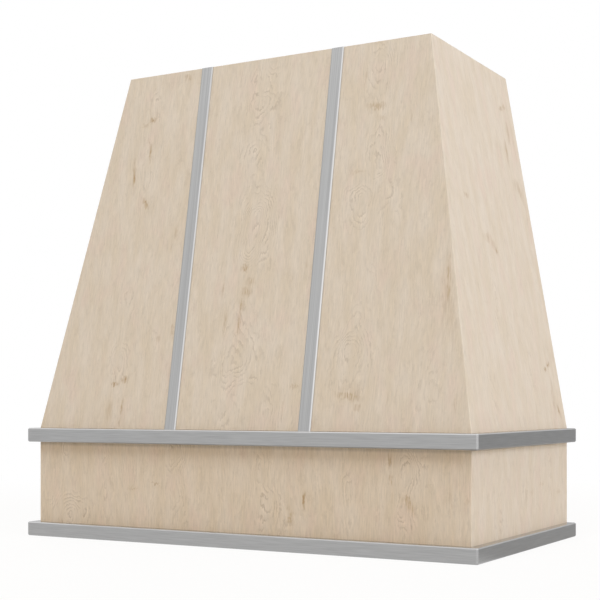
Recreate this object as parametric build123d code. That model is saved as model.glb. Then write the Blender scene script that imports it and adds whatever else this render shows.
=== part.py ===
from build123d import *
import math
import os

# A wall-hung cover for a range hood. A leaning casing of veneered plywood stands on a straight
# skirt. Two metal-clad bands go round the skirt, two flat metal straps run up the front, and an
# inner frame of rails carries the casing, the shelf for the hood insert and the wall fixing.
# X runs to the right as seen from the front, Y towards the wall and Z up. The origin is at the
# level of the lower rim, under the middle of the cover. Lengths are in millimetres.

# Casing
skirt_width = 914.4
skirt_depth = 495.3
hood_height = 914.4
top_width = 660.4
top_depth = 368.3
casing_ply = 12.7

# Bands round the skirt: a wooden core with a metal sheet folded over it
band_height = 27.0
band_reach = 18.0
band_sheet = 1.5
band_bevel = 2.0
band_corner_cut = 2.8
skirt_reveal = 158.0

# Straps up the front
strap_width = 25.4
strap_thick = 1.6
strap_bevel_width = 2.4
strap_bevel_height = 1.2
strap_spacing = 287.0

# Inner frame
rail_thick = 19.0
rail_height = 45.0
wall_rail_height = 89.0
ledger_height = 38.0
corner_block = 30.0

# Shelf for the hood insert
shelf_ply = 12.7
shelf_rise = 50.8
shelf_gap = 0.5
cutout_width = 720.7
cutout_depth = 288.9
cutout_corner_r = 10.0

# Wall fixing
stud_spacing = 406.4
wall_hole_r = 3.5

# Screws
shank_r = 2.0
shank_clearance = 0.1
tip_length = 4.0
head_r = 4.5
head_high = 2.6
head_round = 1.2
head_clearance = 0.3
rail_bite = 20.0
casing_bite = 8.0
band_bite = 10.0
front_screw_count = 4
side_screw_count = 3

# Places worked out from the sizes above
wall_y = (skirt_depth + band_reach) / 2
front_y = wall_y - skirt_depth
slope_z = 2 * band_height + skirt_reveal
side_lean = (skirt_width - top_width) / 2 / (hood_height - slope_z)
front_lean = (skirt_depth - top_depth) / (hood_height - slope_z)
side_stretch = math.hypot(1, side_lean)
front_stretch = math.hypot(1, front_lean)
shelf_top = shelf_rise + shelf_ply
rail_face = casing_ply + rail_thick
rail_back_y = wall_y - rail_thick
skirt_rail_mid_z = slope_z - rail_height / 2
foot_rail_mid_z = slope_z + rail_height / 2
top_rail_mid_z = hood_height - rail_height / 2
ledger_mid_z = shelf_top + ledger_height / 2
upper_band_mid_z = slope_z - band_height / 2
lower_band_mid_z = band_height / 2

# How much a 45-degree corner cut shrinks when both of its faces move in by one
CUT_SHRINK = 2 - math.sqrt(2)

# Round bodies that stand below the seat of a screw, in the wood, and above it
INWARD = (Align.CENTER, Align.CENTER, Align.MAX)
OUTWARD = (Align.CENTER, Align.CENTER, Align.MIN)


def skirt_corner(side_in, front_in, z):
    """Corner on the right, side_in and front_in inside the upright faces of the skirt."""
    return skirt_width / 2 - side_in, front_y + front_in


def slope_corner(side_in, front_in, z):
    """The same for the leaning casing at height z, with depths taken square to its faces."""
    rise = z - slope_z
    x = skirt_width / 2 - rise * side_lean - side_in * side_stretch
    y = front_y + rise * front_lean + front_in * front_stretch
    return x, y


def through(levels):
    """A flat-faced solid through outlines given as (height, [(x, y), ...])."""
    rings = [[Vector(x, y, z) for x, y in outline] for z, outline in levels]
    rims = [rings[0], rings[-1]]
    for lower, upper in zip(rings, rings[1:]):
        for i in range(len(lower)):
            rims.append([lower[i - 1], lower[i], upper[i], upper[i - 1]])
    return Solid(Shell([Face(Wire.make_polygon(rim)) for rim in rims]))


def front_board(corner, low_z, high_z, outer, inner, outer_end, inner_end):
    """A board along the front between two depths, with its ends at depths inside the sides."""
    levels = []
    for z in (low_z, high_z):
        x0, y0 = corner(outer_end, outer, z)
        x1, y1 = corner(inner_end, inner, z)
        levels.append((z, [(-x0, y0), (x0, y0), (x1, y1), (-x1, y1)]))
    return through(levels)


def side_board(corner, low_z, high_z, outer, inner, outer_front, inner_front, back_y):
    """A board along the right side between two depths, from the front back to back_y."""
    levels = []
    for z in (low_z, high_z):
        x0, y0 = corner(outer, outer_front, z)
        x1, y1 = corner(inner, inner_front, z)
        levels.append((z, [(x0, y0), (x0, back_y), (x1, back_y), (x1, y1)]))
    return through(levels)


def back_board(corner, low_z, high_z):
    """A rail against the wall, between the two sides of the casing."""
    levels = []
    for z in (low_z, high_z):
        x, _ = corner(casing_ply, 0, z)
        levels.append((z, [(-x, rail_back_y), (x, rail_back_y), (x, wall_y), (-x, wall_y)]))
    return through(levels)


def spread(count, low, high):
    """Places for count screws, each in the middle of an equal share of low to high."""
    return [low + (high - low) * (i + 0.5) / count for i in range(count)]


def between(count, low, high):
    """Places midway between those of spread, for screws that cross the others' direction."""
    return [low + (high - low) * i / count for i in range(1, count)]


def seat(point, outward):
    """A plane at a screw head's seat, with its normal pointing out of the wood."""
    return Plane(origin=point, z_dir=outward)


def mirrored(planes):
    """The seats given and their mirror images on the left."""
    flipped = []
    for p in planes:
        o, n = p.origin, p.z_dir
        flipped.append(seat((-o.X, o.Y, o.Z), (-n.X, n.Y, n.Z)))
    return planes + flipped


def screw_solid(plane, length):
    """A pan-head wood screw, its head standing on the seat and its shank going in."""
    shank = Cylinder(shank_r, length - tip_length, align=INWARD)
    tip = Cone(shank_r / 4, shank_r, tip_length, align=INWARD)
    head = Cylinder(head_r, head_high, align=OUTWARD)
    head = fillet(head.edges().sort_by(Axis.Z)[-1:], head_round)
    whole = shank + Pos(0, 0, tip_length - length) * tip + head
    return plane.location * whole


def drill(board, planes, length, sink=0.0):
    """Cuts the screws' holes, and with sink a pocket that takes the head below the face."""
    hole = Cylinder(shank_r + shank_clearance, length + shank_clearance, align=INWARD)
    if sink:
        hole = hole + Cylinder(head_r + head_clearance, sink, align=OUTWARD)
    return board - [plane.location * hole for plane in planes]


# Where each group of screws is driven: seats and length

def band_screws(z, seat_in):
    """Screws from inside the skirt into a band's core, with seats seat_in behind its faces."""
    x_end, y_seat = skirt_corner(rail_face, seat_in, z)
    x_seat, y_start = skirt_corner(seat_in, rail_face, z)
    front = [seat((x, y_seat, z), (0, 1, 0)) for x in spread(front_screw_count, -x_end, x_end)]
    right = [seat((x_seat, y, z), (-1, 0, 0)) for y in spread(side_screw_count, y_start, rail_back_y)]
    return front, right, seat_in + band_bite


def ledger_screws():
    """Screws from the ledgers into the skirt."""
    z = ledger_mid_z
    x_end, y_seat = skirt_corner(rail_face, rail_face, z)
    front = [seat((x, y_seat, z), (0, 1, 0)) for x in between(front_screw_count, -x_end, x_end)]
    right = [seat((x_end, y, z), (-1, 0, 0)) for y in between(side_screw_count, y_seat, rail_back_y)]
    return front, right, rail_thick + casing_bite


def shelf_screws():
    """Screws sunk into the shelf's underside, up into the middle of each ledger."""
    z = shelf_rise + head_high
    middle = casing_ply + rail_thick / 2
    x_mid, y_mid = skirt_corner(middle, middle, z)
    x_end, y_end = skirt_corner(rail_face, rail_face, z)
    down = (0, 0, -1)
    across = spread(front_screw_count, -x_end, x_end)
    front = [seat((x, y_mid, z), down) for x in across]
    back = [seat((x, wall_y - rail_thick / 2, z), down) for x in across]
    right = [seat((x_mid, y, z), down) for y in spread(side_screw_count, y_end, rail_back_y)]
    return front, right, back, shelf_ply - head_high + rail_bite


def slope_screws(z):
    """Screws from a leaning rail at height z square into the casing in front of it."""
    x_end, y_seat = slope_corner(rail_face, rail_face, z)
    front_normal = (0, 1, -front_lean)
    side_normal = (-1, 0, -side_lean)
    front = [seat((x, y_seat, z), front_normal) for x in spread(front_screw_count, -x_end, x_end)]
    right = [seat((x_end, y, z), side_normal) for y in spread(side_screw_count, y_seat, rail_back_y)]
    return front, right, rail_thick + casing_bite


def standing_screws():
    """Screws from the top of the slope's foot rails down into the rails of the skirt."""
    z = slope_z + rail_height
    x_outer, y_outer = slope_corner(casing_ply, casing_ply, z)
    x_inner, y_inner = slope_corner(rail_face, rail_face, slope_z)
    x_mid, y_mid = (x_outer + x_inner) / 2, (y_outer + y_inner) / 2
    up = (0, 0, 1)
    front = [seat((x, y_mid, z), up) for x in between(front_screw_count, -x_inner, x_inner)]
    right = [seat((x_mid, y, z), up) for y in between(side_screw_count, y_inner, rail_back_y)]
    return front, right, rail_height + rail_bite


def wall_side_screws(corner, z):
    """A screw from the wall side, sunk into a rail against the wall, into the side rail's end."""
    x, _ = corner(casing_ply + rail_thick / 2, 0, z)
    return [seat((x, wall_y - head_high, z), (0, 1, 0))], rail_thick - head_high + rail_bite


def wall_holes(z):
    """The two holes for wall screws through a rail against the wall."""
    hole = Cylinder(wall_hole_r, 3 * rail_thick, rotation=(90, 0, 0))
    return [Pos(side * stud_spacing / 2, wall_y, z) * hole for side in (-1, 1)]


# Pieces of the casing

def slope_panels():
    """Front and side panels of the leaning casing, mitred where they meet."""
    front = front_board(slope_corner, slope_z, hood_height, 0, casing_ply, 0, casing_ply)
    right = side_board(slope_corner, slope_z, hood_height, 0, casing_ply, 0, casing_ply, wall_y)
    for z in (foot_rail_mid_z, top_rail_mid_z):
        in_front, in_right, length = slope_screws(z)
        front = drill(front, in_front, length)
        right = drill(right, in_right, length)
    return front, right


def skirt_panels():
    """Front and side boards of the upright skirt, mitred where they meet."""
    front = front_board(skirt_corner, 0, slope_z, 0, casing_ply, 0, casing_ply)
    right = side_board(skirt_corner, 0, slope_z, 0, casing_ply, 0, casing_ply, wall_y)
    groups = [
        band_screws(upper_band_mid_z, rail_face),
        band_screws(lower_band_mid_z, casing_ply),
        ledger_screws(),
    ]
    for in_front, in_right, length in groups:
        front = drill(front, in_front, length)
        right = drill(right, in_right, length)
    return front, right


# Bands

def band_levels(base_z, inset, outline):
    """Heights and outlines of a band whose outer faces are moved in by inset all round."""
    bevel = band_bevel - CUT_SHRINK * inset
    cut = band_corner_cut - CUT_SHRINK * inset
    reach = band_reach - inset
    low_z, high_z = base_z + inset, base_z + band_height - inset
    narrow = outline(reach - bevel, cut - CUT_SHRINK * bevel)
    full = outline(reach, cut)
    return [(low_z, narrow), (low_z + bevel, full), (high_z - bevel, full), (high_z, narrow)]


def front_band_outline(reach, cut):
    """The front length of a band from above, mitred at the corners of the skirt."""
    x, y = skirt_corner(-reach, -reach, 0)
    x0, y0 = skirt_corner(0, 0, 0)
    half = [(x - cut, y), (x - cut / 2, y + cut / 2), (x0, y0)]
    return half + [(-a, b) for a, b in reversed(half)]


def side_band_outline(reach, cut):
    """The right-hand length of a band from above, from the mitre back to the wall."""
    x, y = skirt_corner(-reach, -reach, 0)
    x0, y0 = skirt_corner(0, 0, 0)
    return [(x0, y0), (x - cut / 2, y + cut / 2), (x, y + cut), (x, wall_y), (x0, wall_y)]


def band(base_z, seat_in):
    """Cores and metal cladding of one band: front core, right core, front sheet, right sheet."""
    in_front, in_right, length = band_screws(base_z + band_height / 2, seat_in)
    pieces = []
    for outline, planes in ((front_band_outline, in_front), (side_band_outline, in_right)):
        core = through(band_levels(base_z, band_sheet, outline))
        sheet = through(band_levels(base_z, 0, outline)) - core
        pieces.append((drill(core, planes, length), sheet))
    (front_core, front_sheet), (right_core, right_sheet) = pieces
    return front_core, right_core, front_sheet, right_sheet


# Straps

def right_strap():
    """A thin strip glued up the front, its two outer edges bevelled, standing on the upper band."""
    x0, x1 = (strap_spacing - strap_width) / 2, (strap_spacing + strap_width) / 2
    levels = []
    for z in (slope_z, hood_height):
        _, y_back = slope_corner(0, 0, z)
        _, y_edge = slope_corner(0, strap_bevel_height - strap_thick, z)
        _, y_face = slope_corner(0, -strap_thick, z)
        face = [(x1 - strap_bevel_width, y_face), (x0 + strap_bevel_width, y_face)]
        levels.append((z, [(x0, y_back), (x1, y_back), (x1, y_edge)] + face + [(x0, y_edge)]))
    return through(levels)


# Inner frame

def slope_rails(low_z, back_y, standing):
    """Front and right rails that lean with the casing, from low_z up by the rails' height."""
    high_z = low_z + rail_height
    front = front_board(slope_corner, low_z, high_z, casing_ply, rail_face, casing_ply, casing_ply)
    right = side_board(slope_corner, low_z, high_z, casing_ply, rail_face, rail_face, rail_face, back_y)
    groups = [slope_screws((low_z + high_z) / 2)]
    if standing:
        groups.append(standing_screws())
    for in_front, in_right, length in groups:
        front = drill(front, in_front, length)
        right = drill(right, in_right, length)
    return front, right


def skirt_rails(low_z, height, groups):
    """Front and right rails on edge inside the skirt, with the holes of the screw groups."""
    high_z = low_z + height
    front = front_board(skirt_corner, low_z, high_z, casing_ply, rail_face, casing_ply, casing_ply)
    right = side_board(
        skirt_corner, low_z, high_z, casing_ply, rail_face, rail_face, rail_face, rail_back_y
    )
    for in_front, in_right, length in groups:
        front = drill(front, in_front, length)
        right = drill(right, in_right, length)
    return front, right


def wall_rail(corner, low_z, high_z, screw_z, hole_z):
    """A rail against the wall, screwed to the ends of the side rails and holed for the wall."""
    rail = back_board(corner, low_z, high_z) - wall_holes(hole_z)
    planes, length = wall_side_screws(corner, screw_z)
    return drill(rail, mirrored(planes), length, sink=head_high)


def back_ledger():
    """The ledger against the wall, screwed to the ends of the side ledgers."""
    ledger = back_board(skirt_corner, shelf_top, shelf_top + ledger_height)
    planes, length = wall_side_screws(skirt_corner, ledger_mid_z)
    ledger = drill(ledger, mirrored(planes), length, sink=head_high)
    _, _, back, length = shelf_screws()
    return drill(ledger, back, length)


def shelf():
    """The board under the ledgers, with the cut-out that the hood insert hangs in."""
    x, y_front = skirt_corner(casing_ply + shelf_gap, casing_ply + shelf_gap, 0)
    middle_y = (y_front + wall_y) / 2
    outline = Pos(0, middle_y) * Rectangle(2 * x, wall_y - y_front)
    hole = Pos(0, middle_y) * RectangleRounded(cutout_width, cutout_depth, cutout_corner_r)
    board = Pos(0, 0, shelf_rise) * extrude(outline - hole, shelf_ply)
    front, right, back, length = shelf_screws()
    return drill(board, front + mirrored(right) + back, length, sink=head_high)


def slope_corner_block():
    """A three-sided block along the inside of the leaning corner, right side."""
    levels = []
    for z in (slope_z + rail_height, hood_height - rail_height):
        x, y = slope_corner(casing_ply, casing_ply, z)
        levels.append((z, [(x, y), (x, y + corner_block), (x - corner_block, y)]))
    return through(levels)


def skirt_corner_block():
    """A square block in the corner of the skirt, between the ledgers and the upper rails."""
    low_z, high_z = shelf_top + ledger_height, slope_z - rail_height
    x, y = skirt_corner(casing_ply, casing_ply, 0)
    outline = [(x, y), (x, y + corner_block), (x - corner_block, y + corner_block), (x - corner_block, y)]
    return through([(low_z, outline), (high_z, outline)])


def screw_group(planes, length):
    """One node of alike screws, each its own solid."""
    return Compound(children=[screw_solid(plane, length) for plane in planes])


def both_sides(name, right):
    """A right-hand piece and its mirror image, by name."""
    return {f"right_{name}": right, f"left_{name}": mirror(right, about=Plane.YZ)}


def casing(nodes):
    """The panels that are seen from outside, and the straps on the front one."""
    nodes["front_panel"], right = slope_panels()
    nodes |= both_sides("side_panel", right)
    nodes["skirt_front"], right = skirt_panels()
    nodes |= both_sides("skirt_side", right)
    nodes |= both_sides("strap", right_strap())
    return nodes


def bands(nodes):
    """Both bands with their cores and the screws that hold them from inside."""
    for label, base_z, seat_in in (
        ("upper", slope_z - band_height, rail_face),
        ("lower", 0, casing_ply),
    ):
        front_core, right_core, front_sheet, right_sheet = band(base_z, seat_in)
        nodes[f"{label}_band_core_front"] = front_core
        nodes[f"{label}_band_front"] = front_sheet
        nodes |= both_sides(f"{label}_band_core", right_core)
        nodes |= both_sides(f"{label}_band", right_sheet)
        in_front, in_right, length = band_screws(base_z + band_height / 2, seat_in)
        nodes[f"{label}_band_screws"] = screw_group(in_front + mirrored(in_right), length)
    return nodes


def leaning_rails(nodes):
    """Rails inside the foot and the top of the leaning casing."""
    end_planes, end_length = wall_side_screws(slope_corner, top_rail_mid_z)
    for label, mid_z, back_y in (("foot", foot_rail_mid_z, wall_y), ("top", top_rail_mid_z, rail_back_y)):
        front, right = slope_rails(mid_z - rail_height / 2, back_y, standing=label == "foot")
        if label == "top":
            right = drill(right, end_planes, end_length)
        nodes[f"{label}_rail_front"] = front
        nodes |= both_sides(f"{label}_rail", right)
        in_front, in_right, length = slope_screws(mid_z)
        nodes[f"{label}_rail_screws"] = screw_group(in_front + mirrored(in_right), length)
    in_front, in_right, length = standing_screws()
    nodes["standing_screws"] = screw_group(in_front + mirrored(in_right), length)
    return nodes


def skirt_frame(nodes):
    """Rails at the top of the skirt, ledgers near its foot and the shelf under the ledgers."""
    groups = [band_screws(upper_band_mid_z, rail_face), standing_screws()]
    front, right = skirt_rails(slope_z - rail_height, rail_height, groups)
    end_planes, end_length = wall_side_screws(skirt_corner, skirt_rail_mid_z)
    nodes["skirt_rail_front"] = front
    nodes |= both_sides("skirt_rail", drill(right, end_planes, end_length))

    shelf_front, shelf_right, shelf_back, shelf_length = shelf_screws()
    groups = [ledger_screws(), (shelf_front, shelf_right, shelf_length)]
    front, right = skirt_rails(shelf_top, ledger_height, groups)
    end_planes, end_length = wall_side_screws(skirt_corner, ledger_mid_z)
    nodes["ledger_front"] = front
    nodes |= both_sides("ledger", drill(right, end_planes, end_length))
    nodes["ledger_back"] = back_ledger()
    in_front, in_right, length = ledger_screws()
    nodes["ledger_screws"] = screw_group(in_front + mirrored(in_right), length)

    nodes["insert_shelf"] = shelf()
    planes = shelf_front + mirrored(shelf_right) + shelf_back
    nodes["shelf_screws"] = screw_group(planes, shelf_length)
    return nodes


def wall_frame(nodes):
    """The two rails that the cover hangs by, and the screws sunk into their wall side."""
    for label, corner, high_z, screw_z in (
        ("upper", slope_corner, hood_height, top_rail_mid_z),
        ("lower", skirt_corner, slope_z, skirt_rail_mid_z),
    ):
        low_z = high_z - wall_rail_height
        nodes[f"{label}_wall_rail"] = wall_rail(corner, low_z, high_z, screw_z, (low_z + high_z) / 2)
    planes = []
    for corner, z in (
        (slope_corner, top_rail_mid_z),
        (skirt_corner, skirt_rail_mid_z),
        (skirt_corner, ledger_mid_z),
    ):
        at_end, length = wall_side_screws(corner, z)
        planes += mirrored(at_end)
    nodes["wall_rail_screws"] = screw_group(planes, length)
    return nodes


def corner_blocks(nodes):
    """Blocks glued along the inside of the front corners."""
    nodes |= both_sides("slope_corner_block", slope_corner_block())
    nodes |= both_sides("skirt_corner_block", skirt_corner_block())
    return nodes


def main():
    os.makedirs("parts", exist_ok=True)
    nodes = {}
    for add in (casing, bands, leaning_rails, skirt_frame, wall_frame, corner_blocks):
        nodes = add(nodes)
    for name, shape in nodes.items():
        export_step(shape, f"parts/{name}.step")


if __name__ == "__main__":
    main()
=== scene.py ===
import math

import bmesh
import bpy
from bpy.props import FloatProperty, FloatVectorProperty, IntProperty, PointerProperty
from mathutils import Matrix, Vector


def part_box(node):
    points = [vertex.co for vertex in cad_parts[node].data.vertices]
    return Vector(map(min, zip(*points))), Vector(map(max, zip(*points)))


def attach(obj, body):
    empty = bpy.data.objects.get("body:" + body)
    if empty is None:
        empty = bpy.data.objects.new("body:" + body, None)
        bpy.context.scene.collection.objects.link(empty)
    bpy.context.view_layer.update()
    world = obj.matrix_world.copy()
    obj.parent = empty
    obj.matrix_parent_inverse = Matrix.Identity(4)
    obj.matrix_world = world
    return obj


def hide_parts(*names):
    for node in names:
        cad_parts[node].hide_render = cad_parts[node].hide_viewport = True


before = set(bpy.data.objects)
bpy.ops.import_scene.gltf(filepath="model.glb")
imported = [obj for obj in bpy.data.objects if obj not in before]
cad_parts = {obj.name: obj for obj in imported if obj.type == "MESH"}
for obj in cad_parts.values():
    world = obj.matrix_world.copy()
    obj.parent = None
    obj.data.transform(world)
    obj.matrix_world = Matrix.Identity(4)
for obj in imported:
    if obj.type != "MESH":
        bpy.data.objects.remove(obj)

# Looks of a wall-hung hood cover: veneered panels with eased corners, folded metal bands, thin
# metal straps, planed rails, a shelf and its screws. X runs to the right as seen from the front,
# Y towards the wall and Z up. Meshes are in metres, and wood and metal patterns in millimetres.

bl_info = {
    "name": "Range hood cover",
    "version": (1, 0, 0),
    "blender": (4, 5, 0),
    "location": "3D View > Sidebar > Hood cover",
    "description": "Dresses a wall-hung wooden hood cover in veneer, brushed metal and planed wood",
    "category": "Add Mesh",
}

MM = 0.001
BODY = "root"
UP = Vector((0, 0, 1))
FRONT = Vector((0, -1, 0))
RIGHT = Vector((1, 0, 0))
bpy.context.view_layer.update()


def tone(red, green, blue):
    """A colour given from 0 to 255, in the linear values that a shader takes."""
    linear = []
    for value in (red, green, blue):
        share = value / 255
        linear.append(share / 12.92 if share <= 0.04045 else ((share + 0.055) / 1.055) ** 2.4)
    return tuple(linear)


def colour_setting(name, description, default):
    return FloatVectorProperty(
        name=name, description=description, default=default, subtype="COLOR", size=3, min=0, max=1
    )


def length_setting(name, description, millimetres):
    return FloatProperty(
        name=name, description=description, default=millimetres * MM, min=0, unit="LENGTH"
    )


def share_setting(name, description, default):
    return FloatProperty(
        name=name, description=description, default=default, min=0, max=1, subtype="FACTOR"
    )


def angle_setting(name, description, degrees):
    return FloatProperty(
        name=name, description=description, default=math.radians(degrees), unit="ROTATION"
    )


# ---------------------------------------------------------------- settings

class HoodVeneerSettings(bpy.types.PropertyGroup):
    """Veneered panels of the casing and the skirt."""
    light: colour_setting("Light wood", "Palest part of the veneer", tone(214, 201, 184))
    dark: colour_setting("Tan wood", "Warmer stretches of the veneer", tone(209, 194, 173))
    blush: colour_setting("Pink wood", "Faint pink clouds in the veneer", tone(213, 195, 178))
    knot: colour_setting("Knot stain", "Brown stain round knots and streaks", tone(176, 148, 112))
    heart: colour_setting("Knot heart", "Dark middle of a knot", tone(146, 112, 80))
    # Painted shade: the skirt's front is made a little darker and warmer than the other panels, as
    # shade falls on it.
    skirt_shade_tint: colour_setting("Skirt tint", "How the skirt's front is toned", (0.989, 0.970, 0.943))
    skirt_vivid: FloatProperty(
        name="Skirt figure", description="How much stronger the skirt's figure is", default=1.2, min=0
    )
    side_vivid: share_setting("Side figure", "How strong the side panels' figure is", 0.8)
    core: colour_setting("Plywood core", "Inner plies seen at cut edges", tone(212, 193, 162))
    line: colour_setting("Growth line", "Colour that growth lines tend to", tone(124, 92, 56))
    line_depth: share_setting("Growth lines", "How strongly growth lines show", 0.20)
    fibre_depth: share_setting("Fibres", "How much fine fibres vary", 0.235)
    dash_depth: share_setting("Pores", "How much darker the short pores are", 0.065)
    # Painted shade: how much darker the wood is painted in thin lines beside the straps and under the
    # upper band, where shade falls.
    shade_line_depth: share_setting("Seams", "How dark the wood is beside a strap or a band", 0.25)
    skin: length_setting("Veneer", "Thickness of the face veneer", 0.6)
    ply: length_setting("Plies", "Thickness of one inner ply", 2.3)
    corner_radius: length_setting("Corner rounding", "Radius of the mitred corners", 1.6)
    edge_radius: length_setting("Edge rounding", "Radius of the other edges", 0.5)


class HoodTimberSettings(bpy.types.PropertyGroup):
    """Planed rails, ledgers, blocks and band cores."""
    early: colour_setting("Early wood", "Pale part of a growth ring", tone(224, 203, 168))
    late: colour_setting("Late wood", "Dark part of a growth ring", tone(198, 164, 121))
    rounding: length_setting("Edge rounding", "Radius of the planed edges", 1.2)
    shelf: colour_setting("Shelf face", "Sanded face of the shelf", tone(218, 199, 168))


class HoodMetalSettings(bpy.types.PropertyGroup):
    """Bands and straps."""
    metal: colour_setting("Metal", "Brushed sheet", tone(167, 167, 167))
    roughness: share_setting("Roughness", "Blur of reflections in the sheet", 0.30)
    top_polish: share_setting("Top polish", "How much smoother the faces that look up are", 0.18)
    streak_depth: share_setting("Brushing", "How much the brushed streaks vary", 0.38)
    strap_vivid: FloatProperty(
        name="Strap brushing", description="How much stronger a strap's streaks are", default=1.4, min=0
    )
    fold_radius: length_setting("Fold rounding", "Radius along the folded edges", 0.8)
    strap_radius: length_setting("Strap rounding", "Radius along the strap's edges", 0.4)


class HoodScrewSettings(bpy.types.PropertyGroup):
    """Pan-head screws of the inner frame."""
    zinc: colour_setting("Zinc", "Plating of the screws", tone(196, 196, 188))
    head_radius: length_setting("Head radius", "Radius of the head", 4.5)
    head_height: length_setting("Head height", "Height of the head above the wood", 2.6)
    head_rounding: length_setting("Head rounding", "Radius round the top of the head", 1.2)
    shank_radius: length_setting("Shank radius", "Radius over the thread", 2.0)
    thread_depth: length_setting("Thread depth", "Depth of the groove between threads", 0.45)
    pitch: length_setting("Pitch", "Rise of the thread in one turn", 2.4)
    tip_length: length_setting("Point", "Length of the pointed end", 4.0)
    recess_reach: length_setting("Recess reach", "How far each arm of the cross reaches", 2.4)
    recess_slot: length_setting("Recess slot", "Width of each arm of the cross", 0.9)
    recess_depth: length_setting("Recess depth", "Depth of the cross", 1.5)
    sides: IntProperty(name="Sides", description="Corners round a screw", default=20, min=8)
    seed: IntProperty(name="Seed", description="Chooses how far each screw is turned", default=7)


class HoodStageSettings(bpy.types.PropertyGroup):
    """Floor, lamps and camera."""
    floor: colour_setting("Floor", "Pale floor", tone(242, 235, 224))
    room_tint: colour_setting("Room tint", "Colour of the even light", (1.0, 0.854, 0.726))
    high_tint: colour_setting("High lamp tint", "Colour of the high lamp", (0.741, 0.868, 1.0))
    side_tint: colour_setting("Side lamp tint", "Colour of the side lamp", (0.740, 0.844, 1.0))
    lens: FloatProperty(name="Lens", description="Focal length on a 36 mm sensor", default=76.88)
    rise: FloatProperty(name="Lens rise", description="Vertical shift of the lens", default=0.1702)
    eye: FloatVectorProperty(
        name="Eye", description="Place of the camera", default=(1.247, -2.1923, 0.263),
        subtype="TRANSLATION", unit="LENGTH",
    )
    turn: angle_setting("Turn", "How far the camera is turned to the left", 29.641)
    sky: FloatProperty(name="Room light", description="Strength of the even light", default=0.485)
    high: FloatProperty(name="High lamp", description="Strength of the high lamp", default=0.605)
    side: FloatProperty(name="Side lamp", description="Strength of the side lamp", default=0.487)
    back: FloatProperty(name="Back lamp", description="Strength of the back lamp", default=0.33)


class HoodCoverSettings(bpy.types.PropertyGroup):
    """All settings of the hood cover."""
    veneer: PointerProperty(type=HoodVeneerSettings)
    timber: PointerProperty(type=HoodTimberSettings)
    metal: PointerProperty(type=HoodMetalSettings)
    screws: PointerProperty(type=HoodScrewSettings)
    stage: PointerProperty(type=HoodStageSettings)


# ---------------------------------------------------------------- shading

class Graph:
    """Adds nodes to a tree. Every input may be a value or another node's output."""

    def __init__(self, tree):
        self.tree = tree

    def add(self, kind, inputs=(), **settings):
        node = self.tree.nodes.new(kind)
        for name, value in settings.items():
            setattr(node, name, value)
        for key, value in dict(inputs).items():
            self.feed(node.inputs[key], value)
        return node

    def feed(self, socket, value):
        if isinstance(value, bpy.types.NodeSocket):
            self.tree.links.new(value, socket)
        elif socket.type == "RGBA" and len(value) == 3:
            socket.default_value = (*value, 1)
        else:
            socket.default_value = value

    def math(self, operation, *values):
        return self.add("ShaderNodeMath", enumerate(values), operation=operation).outputs[0]

    def plus(self, first, second):
        return self.math("ADD", first, second)

    def less(self, first, second):
        return self.math("SUBTRACT", first, second)

    def times(self, first, second):
        return self.math("MULTIPLY", first, second)

    def linear(self, value, slope, start):
        """A straight line: start, plus the slope times the value."""
        return self.math("MULTIPLY_ADD", value, slope, start)

    def vector(self, operation, *values):
        node = self.add("ShaderNodeVectorMath", enumerate(values), operation=operation)
        return node.outputs["Value" if operation in ("DOT_PRODUCT", "LENGTH") else "Vector"]

    def dot(self, place, way):
        """How far a place lies along a way."""
        return self.vector("DOT_PRODUCT", place, tuple(way))

    def point(self, x, y, z):
        return self.add("ShaderNodeCombineXYZ", enumerate((x, y, z))).outputs[0]

    def fade(self, value, start, end, low=0.0, high=1.0):
        """Runs smoothly from low at start to high at end."""
        inputs = {"Value": value, "From Min": start, "From Max": end, "To Min": low, "To Max": high}
        return self.add("ShaderNodeMapRange", inputs, interpolation_type="SMOOTHSTEP").outputs[0]

    def noise(self, place, size, detail=1.0, roughness=0.5):
        """Noise from 0 to 1 whose clouds measure size along each axis."""
        scaled = self.vector("MULTIPLY", place, [1 / s for s in size])
        inputs = {"Vector": scaled, "Scale": 1.0, "Detail": detail, "Roughness": roughness}
        return self.add("ShaderNodeTexNoise", inputs).outputs["Fac"]

    def sway(self, place, size, reach, **noise):
        """Noise from about -reach to reach."""
        return self.linear(self.noise(place, size, **noise), 4 * reach, -2 * reach)

    def mix(self, factor, first, second):
        """The first colour at factor 0, the second at 1."""
        inputs = {"Factor_Float": factor, "A_Color": first, "B_Color": second}
        node = self.add("ShaderNodeMix", data_type="RGBA")
        sockets = {socket.identifier: socket for socket in node.inputs}
        for key, value in inputs.items():
            self.feed(sockets[key], value)
        return next(socket for socket in node.outputs if socket.identifier == "Result_Color")

    def scaled(self, colour, factor):
        """A colour made lighter or darker by a factor."""
        node = self.add("ShaderNodeVectorMath", operation="SCALE")
        self.feed(node.inputs[0], colour)
        self.feed(node.inputs["Scale"], factor)
        return node.outputs[0]

    def facing(self):
        """Which way the surface faces in the object's own frame."""
        return self.add("ShaderNodeTexCoord").outputs["Normal"]

    def millimetres(self):
        """Place in the object's own frame, in millimetres."""
        place = self.add("ShaderNodeTexCoord").outputs["Object"]
        return self.scaled(place, 1 / MM)


def new_material(name):
    """A material whose nodes are its surface shader and its output, and its graph."""
    material = bpy.data.materials.new(name)
    material.use_nodes = True
    material.node_tree.nodes.clear()
    graph = Graph(material.node_tree)
    shader = graph.add("ShaderNodeBsdfPrincipled")
    output = graph.add("ShaderNodeOutputMaterial")
    graph.feed(output.inputs["Surface"], shader.outputs[0])
    return material, graph, shader


def finish(graph, shader, colour, roughness, relief, depth, strength):
    """Gives a surface its colour, its roughness and a fine relief of a depth in millimetres."""
    graph.feed(shader.inputs["Base Color"], colour)
    graph.feed(shader.inputs["Roughness"], roughness)
    inputs = {"Strength": strength, "Distance": depth * MM, "Height": relief}
    graph.feed(shader.inputs["Normal"], graph.add("ShaderNodeBump", inputs).outputs[0])
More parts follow.
